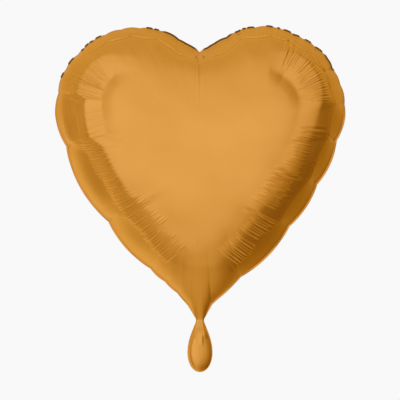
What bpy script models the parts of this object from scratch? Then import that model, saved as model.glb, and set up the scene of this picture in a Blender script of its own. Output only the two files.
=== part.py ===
"""Heart-shaped foil balloon, inflated, as the assembly of films that it is welded from.

Metres, +Z up. The origin is the middle of the pinched neck, where a ribbon is tied. The heart
stands above it, the tail hangs below it, and the front of the balloon faces -Y.

Two large films, front and back, are welded together along their whole edge. Below the heart they
run on through the narrow neck into a small teardrop tail. Two narrow films inside the heart, welded
into the neck, are the self-sealing valve. The films are cut here where the neck twists and where it
bends, so that the moving stretches are separate bodies.
"""

import math

import bmesh
import bpy
import numpy as np

# Driving dimensions of the heart, taken at the outside of its welded edge
LOBE_RADIUS = 0.1000  # each of the two round lobes
LOBE_X = 0.0805  # lobe centre, from the middle
LOBE_Z = 0.2640  # lobe centre, above the neck
LOBE_INNER = 0.0180  # where the lobe's arc stops beside the notch
NOTCH_Z = 0.3325  # bottom of the notch
HIP_DEG = -8.0  # angle on the lobe's arc where the flank takes over
FLANK_END = (0.0480, 0.0510)  # where the flank turns into the flare towards the neck
FLANK_SLOPE_DEG = 39.5  # how steeply the flank runs there, from horizontal
HALF_DEPTH = 0.0870  # middle of the seam to the top of the front or back dome
DOME_CENTRE_Z = 0.2050

# Films, welds and gaps. The real film is 0.03 mm thick, and it is made solid at 0.3 mm here
FILM = 0.0003
GAP = 0.0003
WELD_WIDTH = 0.0028  # the flat welded edge that stands out round the heart
TAIL_WELD_WIDTH = 0.0022
SEAM_HALF_GAP = 0.00035  # from the seam's middle plane to each film's edge

# Neck, between the twist at its top and the bend at its bottom
NECK_TOP_HALF_WIDTH = 0.0085
NECK_HALF_WIDTH = 0.0050  # at the pinch, height 0
NECK_BOTTOM_HALF_WIDTH = 0.0065
NECK_TOP = 0.0067
NECK_BOTTOM = -0.0050
BEND_Z = -0.0065  # axis on which the tail swings

# Tail
TAIL_TOP = -0.0080
TAIL_TOP_HALF_WIDTH = 0.0075
TAIL_BULB_Z = -0.0400  # where the tail is widest
TAIL_HALF_WIDTH = 0.0155
TAIL_BOTTOM = -0.0645
TAIL_HALF_DEPTH = 0.0048
FILLER_RADIUS = 0.0045  # hole in the tail's back film, where the gas nozzle goes in
FILLER_Z = -0.0420

# Valve films inside the heart
VALVE_HINGE_Z = 0.0130
VALVE_FOOT = 0.0140
VALVE_TOP = 0.0900
VALVE_FOOT_HALF_WIDTH = 0.0055
VALVE_HALF_WIDTH = 0.0120
VALVE_FLARE_Z = 0.0320  # height at which the valve reaches its full width

# Fineness of the faceted surfaces
ARC_STEPS = 14
FLANK_STEPS = 9
FLARE_STEPS = 5
TAIL_STEPS = 6
HEART_RINGS = 9
TAIL_RINGS = 4
RING_CROWDING = 1.7  # over 1, the rings lie closer together near the edge
HEART_CAP = 0.13  # size of the flat middle of the heart's dome, as a share of its outline
TAIL_CAP = 0.36

GOLD = (0.62, 0.33, 0.06, 1.0)
PALE = (0.78, 0.76, 0.70, 1.0)


def clear_scene():
    """Remove whatever objects the file holds."""
    for thing in list(bpy.data.objects):
        bpy.data.objects.remove(thing, do_unlink=True)


def foil_material(name, colour, roughness, metallic):
    """A Principled BSDF for one sub-part."""
    material = bpy.data.materials.new(name)
    material.use_nodes = True
    shader = material.node_tree.nodes["Principled BSDF"]
    shader.inputs["Base Color"].default_value = colour
    shader.inputs["Roughness"].default_value = roughness
    shader.inputs["Metallic"].default_value = metallic
    return material


def bezier(start, first, second, end, steps):
    """Points along a cubic curve, without its first point."""
    start, first, second, end = (np.array(p, float) for p in (start, first, second, end))
    points = []
    for k in range(1, steps + 1):
        t = k / steps
        point = (1 - t) ** 3 * start + 3 * (1 - t) ** 2 * t * first
        points.append(point + 3 * (1 - t) * t**2 * second + t**3 * end)
    return points


def heart_half():
    """The right half of the heart's outline as (x, z) points, from the notch down to the neck."""
    centre = np.array([LOBE_X, LOBE_Z])
    first = math.acos((LOBE_INNER - LOBE_X) / LOBE_RADIUS)
    last = math.radians(HIP_DEG)
    points = [np.array([0.0, NOTCH_Z])]
    for angle in np.linspace(first, last, ARC_STEPS + 1):
        points.append(centre + LOBE_RADIUS * np.array([math.cos(angle), math.sin(angle)]))
    hip = points[-1]
    down = np.array([math.sin(last), -math.cos(last)])
    slope = math.radians(FLANK_SLOPE_DEG)
    inward = np.array([-math.cos(slope), -math.sin(slope)])
    flank_end = np.array(FLANK_END)
    reach = np.linalg.norm(hip - flank_end)
    below_hip = hip + 0.30 * reach * down
    above_end = flank_end - 0.33 * reach * inward
    points += bezier(hip, below_hip, above_end, flank_end, FLANK_STEPS)
    neck = np.array([NECK_TOP_HALF_WIDTH, NECK_TOP + GAP])
    flare = np.linalg.norm(flank_end - neck)
    below_end = flank_end + 0.45 * flare * inward
    above_neck = neck + flare * np.array([0.09, 0.18])
    points += bezier(flank_end, below_end, above_neck, neck, FLARE_STEPS)
    return points


def tail_half():
    """The right half of the tail's outline as (x, z) points, from the bend down to the tip."""
    top = np.array([TAIL_TOP_HALF_WIDTH, TAIL_TOP])
    side = np.array([TAIL_HALF_WIDTH, TAIL_BULB_Z])
    drop = TAIL_TOP - TAIL_BULB_Z
    points = [top]
    points += bezier(top, top + (0.1 * drop, -0.25 * drop), side + (0, 0.4 * drop), side, TAIL_STEPS)
    height = TAIL_BULB_Z - TAIL_BOTTOM
    for k in range(1, TAIL_STEPS + 1):
        angle = 0.5 * math.pi * k / TAIL_STEPS
        points.append(np.array([TAIL_HALF_WIDTH * math.cos(angle), TAIL_BULB_Z - height * math.sin(angle)]))
    return points


def mirrored(half, shared_first=False, shared_last=False):
    """A whole outline from its right half. A shared end is one point, on the middle line."""
    left = [np.array([-p[0], p[1]]) for p in half]
    if shared_first:
        left = left[1:]
    if shared_last:
        left = left[:-1]
    return np.array(list(half) + left[::-1])


def inset(outline, distance, held):
    """The outline moved inwards. Its held points, at the open neck, only move sideways."""
    ahead = np.roll(outline, -1, axis=0) - outline
    behind = outline - np.roll(outline, 1, axis=0)
    ahead /= np.linalg.norm(ahead, axis=1)[:, None]
    behind /= np.linalg.norm(behind, axis=1)[:, None]
    along = ahead + behind
    along /= np.linalg.norm(along, axis=1)[:, None]
    inward = np.stack([along[:, 1], -along[:, 0]], axis=1)
    moved = outline + distance * inward
    for k in held:
        moved[k] = outline[k] - (math.copysign(distance, outline[k][0]), 0)
    return moved


def ring_grid(outline, centre, rings, cap):
    """Rings of plan points, shrinking from the outline to the flat cap round the centre."""
    sizes = [1 - (1 - cap) * (k / rings) ** RING_CROWDING for k in range(rings + 1)]
    return np.array([centre + size * (outline - centre) for size in sizes])


def ring_faces(rings, around):
    """Quads between the rings, and one flat face inside the last ring."""
    faces = []
    for k in range(rings):
        for j in range(around):
            i = (j + 1) % around
            faces.append((k * around + j, k * around + i, (k + 1) * around + i, (k + 1) * around + j))
    faces.append(tuple(rings * around + j for j in range(around)))
    return faces


def puffed_height(grid):
    """How high a film welded along the outline stands at each plan point, as a share of the highest.

    The square root of a pressed membrane's height has a film balloon's steep edge and broad dome.
    """
    rings, around, _ = grid.shape
    plan = np.vstack([grid.reshape(-1, 2), grid[-1].mean(0)])
    hub = len(plan) - 1
    triangles = []
    for k in range(rings - 1):
        for j in range(around):
            i = (j + 1) % around
            a, b = k * around + j, k * around + i
            triangles += [(a, b, b + around), (a, b + around, a + around)]
    last = (rings - 1) * around
    triangles += [(last + j, last + (j + 1) % around, hub) for j in range(around)]
    stiffness = np.zeros((len(plan), len(plan)))
    load = np.zeros(len(plan))
    for corners in triangles:
        p = plan[list(corners)]
        edges = np.roll(p, -2, axis=0) - np.roll(p, -1, axis=0)
        area = 0.5 * abs(edges[0][0] * edges[1][1] - edges[0][1] * edges[1][0])
        stiffness[np.ix_(corners, corners)] += edges @ edges.T / (4 * area)
        load[list(corners)] += area / 3
    inside = slice(around, None)
    height = np.zeros(len(plan))
    height[inside] = np.linalg.solve(stiffness[inside, inside], load[inside])
    share = np.sqrt(np.maximum(height, 0) / height.max())
    puffed = share * (1.2 - 0.2 * share**2)
    puffed[last:] = puffed[last:hub].mean()
    return (puffed / puffed.max())[:hub].reshape(rings, around)


def build_object(name, vertices, faces, material, joint=(0.0, 0.0, 0.0)):
    """A named mesh object whose origin lies on its joint."""
    mesh = bpy.data.meshes.new(name)
    mesh.from_pydata([tuple(np.subtract(v, joint)) for v in vertices], [], faces)
    mesh.update()
    made = bmesh.new()
    made.from_mesh(mesh)
    bmesh.ops.recalc_face_normals(made, faces=made.faces)
    made.to_mesh(mesh)
    made.free()
    mesh.materials.append(material)
    thing = bpy.data.objects.new(name, mesh)
    thing.location = joint
    bpy.context.collection.objects.link(thing)
    mesh.shade_smooth()
    mesh.set_sharp_from_angle(angle=math.radians(40))
    return thing


def dished_film(name, grid, height, side, depth, material, joint=(0.0, 0.0, 0.0)):
    """A domed film as a closed shell. side is -1 for the front film and 1 for the back one."""
    rings, around, _ = grid.shape
    outside = []
    for plan_ring, height_ring in zip(grid, height):
        for (x, z), share in zip(plan_ring, height_ring):
            outside.append((x, side * (SEAM_HALF_GAP + FILM + (depth - SEAM_HALF_GAP - FILM) * share), z))
    faces = ring_faces(rings - 1, around)
    inner_rim = [(x, side * SEAM_HALF_GAP, z) for x, z in grid[0]]
    vertices = outside + inner_rim
    lip = len(outside)
    faces += [(j, (j + 1) % around, lip + (j + 1) % around, lip + j) for j in range(around)]
    film = build_object(name, vertices, faces, material, joint)
    cap = film.data.polygons[(rings - 1) * around]
    if cap.normal.y * side < 0:
        film.data.flip_normals()
    wall = film.modifiers.new("wall", "SOLIDIFY")
    wall.thickness = FILM
    wall.offset = -1
    wall.use_even_offset = False
    return film


def flat_strip(name, inner, outer, half_thickness, material, joint=(0.0, 0.0, 0.0)):
    """A flat strip between two open outlines, lying in the seam's plane."""
    vertices = []
    for near, far in zip(inner, outer):
        for x, z in (near, far):
            vertices += [(x, -half_thickness, z), (x, half_thickness, z)]
    faces = []
    for k in range(len(inner) - 1):
        a, b = 4 * k, 4 * k + 4
        faces += [(a, a + 2, b + 2, b), (a + 1, b + 1, b + 3, a + 3)]
        faces += [(a, b, b + 1, a + 1), (a + 2, a + 3, b + 3, b + 2)]
    end = 4 * (len(inner) - 1)
    faces += [(0, 1, 3, 2), (end, end + 2, end + 3, end + 1)]
    return build_object(name, vertices, faces, material, joint)


def flat_film(name, corners, near, far, material, joint=(0.0, 0.0, 0.0)):
    """A flat film cut to the given (x, z) corners, between two distances from the seam's plane."""
    count = len(corners)
    vertices = [(x, y, z) for y in (near, far) for x, z in corners]
    faces = [tuple(range(count)), tuple(range(count, 2 * count))]
    faces += [(j, (j + 1) % count, count + (j + 1) % count, count + j) for j in range(count)]
    return build_object(name, vertices, faces, material, joint)


def make_heart():
    """The front and back films and the welded edge round them."""
    half = heart_half()
    outline = mirrored(half, shared_first=True)
    ends = (len(half) - 1, len(half))
    film_edge = inset(outline, WELD_WIDTH, ends)
    grid = ring_grid(film_edge, np.array([0.0, DOME_CENTRE_Z]), HEART_RINGS, HEART_CAP)
    height = puffed_height(grid)
    for name, side in (("front_film", -1), ("back_film", 1)):
        dished_film(name, grid, height, side, HALF_DEPTH, foil_material(name, GOLD, 0.36, 1.0))
    weld_inner = inset(outline, WELD_WIDTH - GAP, ends)
    up_left_side = -ends[1]  # the weld is open at the neck, so its run starts there
    weld_inner, weld_outer = np.roll(weld_inner, up_left_side, 0), np.roll(outline, up_left_side, 0)
    flat_strip("edge_weld", weld_inner, weld_outer, FILM, foil_material("edge_weld", GOLD, 0.42, 1.0))


def make_neck():
    """The two film strips of the neck, which twist together under the heart."""
    right = [(NECK_TOP_HALF_WIDTH, NECK_TOP), (NECK_HALF_WIDTH, 0.0), (NECK_BOTTOM_HALF_WIDTH, NECK_BOTTOM)]
    corners = right + [(-x, z) for x, z in reversed(right)]
    for name, side in (("neck_front_film", -1), ("neck_back_film", 1)):
        near, far = side * SEAM_HALF_GAP, side * (SEAM_HALF_GAP + FILM)
        flat_film(name, corners, near, far, foil_material(name, GOLD, 0.38, 1.0))


def make_tail():
    """The tail's two films, its welded edge and its filler hole."""
    joint = (0.0, 0.0, BEND_Z)
    half = tail_half()
    outline = mirrored(half, shared_last=True)
    ends = (0, len(outline) - 1)
    film_edge = inset(outline, TAIL_WELD_WIDTH, ends)
    film_edge[:, 1] = np.minimum(film_edge[:, 1], TAIL_TOP)
    grid = ring_grid(film_edge, np.array([0.0, FILLER_Z]), TAIL_RINGS, TAIL_CAP)
    height = puffed_height(grid)
    films = {}
    for name, side in (("tail_front_film", -1), ("tail_back_film", 1)):
        material = foil_material(name, GOLD, 0.38, 1.0)
        films[side] = dished_film(name, grid, height, side, TAIL_HALF_DEPTH, material, joint)
    cut_filler_hole(films[1])
    weld_inner = inset(outline, TAIL_WELD_WIDTH - GAP, ends)
    material = foil_material("tail_weld", GOLD, 0.42, 1.0)
    flat_strip("tail_weld", weld_inner, outline, FILM, material, joint)


def cut_filler_hole(film):
    """The round hole through the tail's back film."""
    bpy.ops.mesh.primitive_cylinder_add(
        vertices=16,
        radius=FILLER_RADIUS,
        depth=TAIL_HALF_DEPTH,
        location=(0.0, TAIL_HALF_DEPTH, FILLER_Z),
        rotation=(math.pi / 2, 0.0, 0.0),
    )
    cutter = bpy.context.active_object
    cutter.name = "filler_hole_cutter"
    cutter.hide_render = True
    cutter.display_type = "WIRE"
    cut = film.modifiers.new("filler_hole", "BOOLEAN")
    cut.operation = "DIFFERENCE"
    cut.solver = "EXACT"
    cut.object = cutter


def make_valve():
    """The two clear films that seal the neck from inside, pressed together by the gas."""
    right = [(VALVE_FOOT_HALF_WIDTH, VALVE_FOOT), (VALVE_HALF_WIDTH, VALVE_FLARE_Z)]
    right.append((VALVE_HALF_WIDTH, VALVE_TOP))
    corners = right + [(-x, z) for x, z in reversed(right)]
    for name, side in (("valve_front_film", -1), ("valve_back_film", 1)):
        near, far = side * 0.5 * GAP, side * (0.5 * GAP + FILM)
        material = foil_material(name, PALE, 0.30, 0.0)
        flat_film(name, corners, near, far, material, (0.0, 0.0, VALVE_HINGE_Z))


def main():
    clear_scene()
    make_heart()
    make_neck()
    make_tail()
    make_valve()


main()
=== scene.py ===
"""The looks of the heart-shaped foil balloon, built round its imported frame.

Metres, +Z up, the front faces -Y. The origin is the pinch of the neck. Each film is one fine mesh:
a smooth dome, which is the shape that a welded film takes under pressure, and the folds of the real
film laid over it along its normals: the puckers of the seam, the crimped rim, flattened panels, long
creases and sets of fine wrinkles. Lists that are in millimetres say so.
"""

import math

import bmesh
import bpy
import numpy as np
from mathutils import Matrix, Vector


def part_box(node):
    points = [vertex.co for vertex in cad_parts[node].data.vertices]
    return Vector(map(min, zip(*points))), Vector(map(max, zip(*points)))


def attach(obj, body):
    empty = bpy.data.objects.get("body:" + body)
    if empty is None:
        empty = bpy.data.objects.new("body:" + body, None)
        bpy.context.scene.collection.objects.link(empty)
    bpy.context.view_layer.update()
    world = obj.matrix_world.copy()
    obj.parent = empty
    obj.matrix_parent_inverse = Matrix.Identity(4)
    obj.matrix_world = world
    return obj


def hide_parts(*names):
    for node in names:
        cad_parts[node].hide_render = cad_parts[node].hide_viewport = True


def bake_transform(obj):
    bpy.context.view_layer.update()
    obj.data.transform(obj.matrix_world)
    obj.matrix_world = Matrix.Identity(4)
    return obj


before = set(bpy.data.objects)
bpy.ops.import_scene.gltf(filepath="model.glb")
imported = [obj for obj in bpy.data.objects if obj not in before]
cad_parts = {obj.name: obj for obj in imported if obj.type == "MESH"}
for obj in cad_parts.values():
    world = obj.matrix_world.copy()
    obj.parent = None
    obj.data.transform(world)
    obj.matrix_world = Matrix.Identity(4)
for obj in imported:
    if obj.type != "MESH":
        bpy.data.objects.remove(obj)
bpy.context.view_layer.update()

MM = 0.001
FRONT, BACK = -1, 1  # the way a film bulges along Y

# The heart's outline at the outside of its weld, as in the CAD
LOBE_RADIUS = 0.1000
LOBE_X = 0.0805
LOBE_Z = 0.2640
LOBE_INNER = 0.0180
NOTCH_Z = 0.3325
HIP_DEG = -8.0
FLANK_END = (0.0480, 0.0510)
FLANK_SLOPE_DEG = 39.5
NECK_TOP = (0.0085, 0.0070)
PINCH_HALF_WIDTH = 0.0050
HEART_CENTRE = np.array([0.0, 0.2050])
HALF_DEPTH = -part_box("front_film")[0].y

# The tail's outline, as in the CAD
TAIL_NECK = (0.0075, -0.0080)
TAIL_WIDEST = (0.0155, -0.0400)
TAIL_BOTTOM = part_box("tail_weld")[0].z
TAIL_CENTRE = np.array([0.0, -0.0420])
TAIL_HALF_DEPTH = 0.0100  # as blown, about twice as full as in the CAD
TAIL_SKEW = -0.55  # its front is fullest towards the left, its back towards the right
FILLER_RADIUS = 0.0045

# The seam
WELD_WIDTH = 2.2 * MM  # how far the welded edge stands out past the films
TAIL_WELD_WIDTH = 0.8 * MM
WELD_THICK = 0.3 * MM
SEAM_HALF_GAP = 0.15 * MM
PINCH_HALF_DEPTH = 1.9 * MM
PINCH_FADE = 20 * MM  # the heart's weld and puckers run out over this stretch before the pinch
PUCKER_REACH = 46 * MM  # how far inwards a pucker of the seam pulls the film
SWAY_REACH = 30 * MM  # how far inwards the film follows the seam out of the middle plane

# The gathered neck: how high its cone and its round sections reach, how far its pleats stand out and
# over which height they fall off
HEART_GATHER = (60 * MM, 150 * MM)
TAIL_GATHER = (16 * MM, 24 * MM)
HEART_PLEATS = (0.08 * MM, 5 * MM)
TAIL_PLEATS = (0.25 * MM, 14 * MM)
NECK_FADE = (18 * MM, 80 * MM)  # the heart's folds fade out between these heights
AXIS_BLEND = 12 * MM  # the folds of the two halves pass into each other within this of the axis

# The valve: it widens from its foot over the flare's height, and its films bow apart and wave
VALVE_FOOT_HALF_WIDTH = 5.5 * MM
VALVE_FLARE = 18 * MM
VALVE_BOW = 0.08 * MM
VALVE_WAVE = 0.05 * MM

# Fineness of the films
AROUND = 1760
PINCH_COLUMNS = 17
RINGS = 104
RING_DENSITY = [
    (0, 1.0), (0.17, 1.0), (0.20, 2.0), (0.42, 2.0), (0.46, 1.1), (0.64, 1.1), (0.72, 0.5), (1, 0.5),
]  # fmt: skip
HALVED_AT = (0.87, 0.95)  # share of the rings after which the columns halve
CAP = 0.02
TAIL_AROUND = 300
TAIL_RINGS = 44
COARSE = (26, 150)  # rings and columns of the grid that the membrane is solved on


# ---------------------------------------------------------------- curves


def bezier(start, first, second, end, count):
    """Points along a cubic curve, without its first point."""
    t = np.linspace(0, 1, count + 1)[1:, None]
    start, first, second, end = (np.array(p, float) for p in (start, first, second, end))
    return (1 - t) ** 3 * start + 3 * (1 - t) ** 2 * t * first + 3 * (1 - t) * t**2 * second + t**3 * end


def along(points):
    """The distance along a run of points, from its first one."""
    return np.concatenate([[0], np.cumsum(np.linalg.norm(np.diff(points, axis=0), axis=1))])


def resampled(points, at):
    """The points at the given distances along a run."""
    far = along(points)
    return np.stack([np.interp(at, far, points[:, k]) for k in range(points.shape[1])], axis=1)


def outward_of(points):
    """Outward unit normals in the plane of a run that goes clockwise as seen from the front."""
    tangent = np.gradient(points, axis=0)
    tangent /= np.linalg.norm(tangent, axis=1)[:, None]
    return np.stack([-tangent[:, 1], tangent[:, 0]], axis=1)


def smoothstep(low, high, value):
    """0 before low, 1 after high, and smooth between them."""
    t = np.clip((value - low) / (high - low), 0, 1)
    return t * t * (3 - 2 * t)


def heart_half():
    """The right half of the heart's outline as (x, z) points, from the notch down to the pinch."""
    centre = np.array([LOBE_X, LOBE_Z])
    first = math.acos((LOBE_INNER - LOBE_X) / LOBE_RADIUS)
    last = math.radians(HIP_DEG)
    angle = np.linspace(first, last, 300)[:, None]
    arc = centre + LOBE_RADIUS * np.hstack([np.cos(angle), np.sin(angle)])
    notch = np.array([0.0, NOTCH_Z])
    beside_notch = notch + (arc[0] - notch) * np.linspace(0, 1, 40)[:-1, None]
    hip = arc[-1]
    down = np.array([math.sin(last), -math.cos(last)])
    slope = math.radians(FLANK_SLOPE_DEG)
    inward = np.array([-math.cos(slope), -math.sin(slope)])
    end = np.array(FLANK_END)
    reach = np.linalg.norm(hip - end)
    flank = bezier(hip, hip + 0.30 * reach * down, end - 0.33 * reach * inward, end, 300)
    neck = np.array(NECK_TOP)
    flare = np.linalg.norm(end - neck)
    flared = bezier(end, end + 0.45 * flare * inward, neck + flare * np.array([0.09, 0.18]), neck, 120)
    pinch = np.array([PINCH_HALF_WIDTH, 0.0])
    pinched = bezier(neck, neck - (0.0016, 0.0032), pinch + (0, 0.002), pinch, 24)
    return np.vstack([beside_notch, arc, flank, flared, pinched])


def tail_half():
    """The right half of the tail's outline, from the pinch down to its lowest point."""
    pinch = np.array([PINCH_HALF_WIDTH, 0.0])
    neck, side = np.array(TAIL_NECK), np.array(TAIL_WIDEST)
    bottom = np.array([0.0, TAIL_BOTTOM])
    below = bezier(pinch, pinch - (0, 0.003), neck + (-0.0009, 0.0022), neck, 30)
    drop = neck[1] - side[1]
    upper = bezier(neck, neck + (0.1 * drop, -0.25 * drop), side + (0, 0.4 * drop), side, 100)
    round_end = side[1] - bottom[1]
    lower = bezier(side, side - (0, 0.60 * round_end), bottom + (0.56 * side[0], 0), bottom, 100)
    return np.vstack([pinch[None], below, upper, lower])


# ---------------------------------------------------------------- the seam and its puckers

# Distance along the seam from the notch and how deep it is drawn in there, in millimetres
PUCKERS_RIGHT = [
    (0, -0.4), (10, -0.5), (37, 1.4), (53, 0.0), (65, -0.9), (76, 0.4), (101, 0.5), (110, 1.4),
    (126, 3.3), (138, 3.0), (157, 2.7), (180, 2.0), (193, 3.8), (216, 1.9), (242, 1.0), (289, 3.7),
    (349, 3.1), (412, 1.2), (499, 0.0), (548, 0.9), (575, 0.0),
]  # fmt: skip
PUCKERS_LEFT = [
    (0, 0.0), (30, 0.2), (54, 0.4), (64, 0.5), (82, 2.0), (106, 2.3), (127, 3.0), (145, 2.3),
    (162, 3.3), (171, 3.3), (195, 2.0), (228, 3.1), (297, 5.0), (406, 2.7), (484, 0.7), (508, 0.1),
    (529, 0.3), (549, 0.2), (575, 0.0),
]  # fmt: skip
BULGE = 0.052  # how far the seam stands out between two puckers, as a share of their distance

# Where the crimped rim has its corners along the seam, mostly at deep puckers, in millimetres
CORNERS_RIGHT = [-20, 0, 53, 97, 123, 160, 193, 242, 289, 349, 412, 499, 580]
CORNERS_LEFT = [-20, 0, 54, 93, 127, 171, 195, 228, 297, 406, 484, 580]

# Stretches of the lobes' seam where the welded edge shows behind the front film, in millimetres. There the
# edge is given a painted shade
EDGE_SHOWN_RIGHT = [
    (2, 47), (49, 57), (59, 64), (65, 75), (89, 98), (103, 107), (111, 122), (124, 134), (141, 151),
    (157, 169), (172, 198),
]  # fmt: skip
EDGE_SHOWN_LEFT = [
    (2, 55), (57, 64), (65, 74), (132, 141), (144, 150), (151, 158), (160, 165), (177, 189), (200, 208),
]  # fmt: skip


def drawn_in(distance, puckers):
    """How far the seam is drawn in at each distance from the notch, in metres."""
    at = np.array([p[0] for p in puckers]) * MM
    depth = np.array([p[1] for p in puckers]) * MM
    which = np.clip(np.searchsorted(at, distance, side="right") - 1, 0, len(at) - 2)
    gap = at[which + 1] - at[which]
    share = np.clip((distance - at[which]) / gap, 0, 1)
    chord = depth[which] + (depth[which + 1] - depth[which]) * share
    bulge = BULGE * gap * np.clip(np.sin(np.pi * share), 0, 1) ** 0.8
    bulge *= smoothstep(580 * MM, 520 * MM, distance)
    return chord - bulge


def seam_run():
    """The seam from the left side of the pinch over both lobes to the right side of it.

    Returns its smooth points, its outward normals, its signed distance from the notch (left is
    negative) and how far it is drawn in.
    """
    half = heart_half()
    length = along(half)[-1]
    distance = np.linspace(-length, length, AROUND + 1)
    right = resampled(half, np.abs(distance))
    points = np.stack([np.sign(distance) * right[:, 0], right[:, 1]], axis=1)
    outward = outward_of(points)
    outward[AROUND // 2] = (0, 1)
    fade = np.clip((length - np.abs(distance)) / PINCH_FADE, 0, 1)
    points -= outward * (WELD_WIDTH * fade)[:, None]
    left = drawn_in(-distance, PUCKERS_LEFT)
    inset = np.where(distance < 0, left, drawn_in(distance, PUCKERS_RIGHT)) * fade
    return points, outward, distance, inset


def seam_sway(distance):
    """How far the seam swings along Y, out of the middle plane."""
    slow = 1.3 * np.sin(distance / (31 * MM) + 0.6) + 0.7 * np.sin(distance / (12.5 * MM) + 2.1)
    length = 575 * MM
    return MM * slow * smoothstep(length, length - 60 * MM, np.abs(distance))


def seam_coordinates(plan):
    """Where each plan point lies beside the nearer half of the seam.

    Returns the distance along the seam from the notch and the distance in from it. Past the notch
    the seam is taken as straight, so the two sides meet in a V there. Low down they meet softly.
    """
    step = 1.5 * MM
    half = heart_half()
    at = np.arange(0, along(half)[-1], step)
    line = resampled(half, at)
    ahead = (line[1] - line[0]) / np.linalg.norm(line[1] - line[0])
    before = -step * np.arange(40, 0, -1)
    line = np.vstack([line[0] + ahead * before[:, None], line])
    at = np.concatenate([before, at])
    outward = outward_of(line)
    tangent = np.stack([outward[:, 1], -outward[:, 0]], axis=1)
    run, depth = np.zeros(plan.shape[:2]), np.zeros(plan.shape[:2])
    for k, ring in enumerate(plan):
        soft = smoothstep(5 * MM, 60 * MM, ring[:, 1]) * smoothstep(230 * MM, 130 * MM, ring[:, 1])
        soft *= 10 * MM
        point = np.stack([np.hypot(ring[:, 0], soft), ring[:, 1]], axis=1)
        gap = ((point[:, None, :] - line[None]) ** 2).sum(2)
        near = np.argmin(gap, axis=1)
        offset = point - line[near]
        run[k] = at[near] + (offset * tangent[near]).sum(1)
        depth[k] = -(offset * outward[near]).sum(1) - WELD_WIDTH
    return run, np.maximum(depth, 0)


# ---------------------------------------------------------------- the puffed shape


def pressed_membrane(grid):
    """The height of a flat membrane under even pressure at each grid point, by linear elements."""
    rings, around, _ = grid.shape
    plan = np.vstack([grid.reshape(-1, 2), grid[-1].mean(0)])
    hub = len(plan) - 1
    j = np.arange(around)
    i = (j + 1) % around
    corners = []
    for k in range(rings - 1):
        a, b = k * around + j, k * around + i
        corners += [np.stack([a, b, b + around], 1), np.stack([a, b + around, a + around], 1)]
    last = (rings - 1) * around
    corners.append(np.stack([last + j, last + i, np.full(around, hub)], 1))
    corners = np.vstack(corners)
    p = plan[corners]
    edge = np.roll(p, -2, axis=1) - np.roll(p, -1, axis=1)
    area = 0.5 * np.abs(edge[:, 0, 0] * edge[:, 1, 1] - edge[:, 0, 1] * edge[:, 1, 0])
    stiffness = np.zeros((len(plan), len(plan)))
    load = np.zeros(len(plan))
    for m in range(3):
        np.add.at(load, corners[:, m], area / 3)
        for n in range(3):
            share = (edge[:, m] * edge[:, n]).sum(1) / (4 * area)
            np.add.at(stiffness, (corners[:, m], corners[:, n]), share)
    height = np.zeros(len(plan))
    inside = np.arange(around, len(plan))
    height[inside] = np.linalg.solve(stiffness[np.ix_(inside, inside)], load[inside])
    return height[:hub].reshape(rings, around) / height[hub]


def cubic(values, at, axis, wrap):
    """Smooth interpolation of values along an axis at fractional positions."""
    count = values.shape[axis]
    low = np.floor(at).astype(int)
    index = [low + k for k in (-1, 0, 1, 2)]
    index = [n % count if wrap else np.clip(n, 0, count - 1) for n in index]
    a, b, c, d = (np.take(values, n, axis=axis) for n in index)
    shape = [1] * values.ndim
    shape[axis] = len(at)
    t = (at - low).reshape(shape)
    return b + 0.5 * t * (c - a + t * (2 * a - 5 * b + 4 * c - d + t * (3 * (b - c) + d - a)))


def ring_places():
    """Where the heart's rings lie from the seam (0) to the middle (1). They crowd round the crease."""
    fine = np.linspace(0, 1, 2000)
    total = np.cumsum(np.interp(fine, [a for a, _ in RING_DENSITY], [b for _, b in RING_DENSITY]))
    total = (total - total[0]) / (total[-1] - total[0])
    return np.interp(np.linspace(0, 1, RINGS), total, fine)


def rings_between(loop, inner, t):
    """Plan points on rings from the loop inwards. The rings are close together at the loop."""
    inward = (1 - CAP) * t**2
    return inner + (1 - inward)[:, None, None] * (loop - inner)


def puffed(loop, centre, t, half_depth):
    """The height of the puffed film on rings inside the loop, which is closed at the pinch."""
    rings, columns = COARSE
    coarse_loop = cubic(loop, np.arange(columns) * len(loop) / columns, 0, True)
    coarse = rings_between(coarse_loop, centre, np.linspace(0, 1, rings))
    value = pressed_membrane(coarse)
    value = cubic(value, np.arange(len(loop)) * columns / len(loop), 1, True)
    value = cubic(value, t * (rings - 1), 0, False)
    share = np.sqrt(np.clip(value, 0, 1))
    return half_depth * share * (1.2 - 0.2 * share**2)


def gathered(height, plan, loop, near, far):
    """The height with round sections from seam to seam up to far, and a cone to the pinch from near.

    Beside the axis the round sections reach a little further up.
    """
    middle, quarter = len(loop) - PINCH_COLUMNS // 2, len(loop) // 4
    across, up = np.abs(plan[..., 0]), np.abs(plan[..., 1])
    ridge = np.interp(up, up[:, middle], height[:, middle])
    at_near = np.interp(near, up[:, middle], height[:, middle])
    cone = PINCH_HALF_DEPTH + (at_near - PINCH_HALF_DEPTH) * np.minimum(up / near, 2) ** 1.2
    ridge += smoothstep(1.3 * near, 0.5 * near, up) * (cone - ridge)
    half_width = np.interp(up, np.abs(loop[:quarter, 1]), np.abs(loop[:quarter, 0]))
    section = ridge * np.sqrt(np.clip(1 - (across / half_width) ** 2, 0, 1))
    beside = np.exp(-((across / (0.12 * far)) ** 2)) * smoothstep(1.33 * far, 1.1 * far, up)
    rest = (1 - smoothstep(far, 0.6 * far, up)) * (1 - beside)
    return section + rest * (height - section)


def normals_of(p, side):
    """Unit normals of a ring grid of points, turned outwards."""
    d_around = np.roll(p, -1, axis=1) - np.roll(p, 1, axis=1)
    d_inward = np.gradient(p, axis=0)
    n = np.cross(d_around, d_inward)
    n /= np.maximum(np.linalg.norm(n, axis=2), 1e-12)[..., None]
    return n if n[-1, :, 1].mean() * side > 0 else -n


# ---------------------------------------------------------------- the folds of the heart's films

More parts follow.
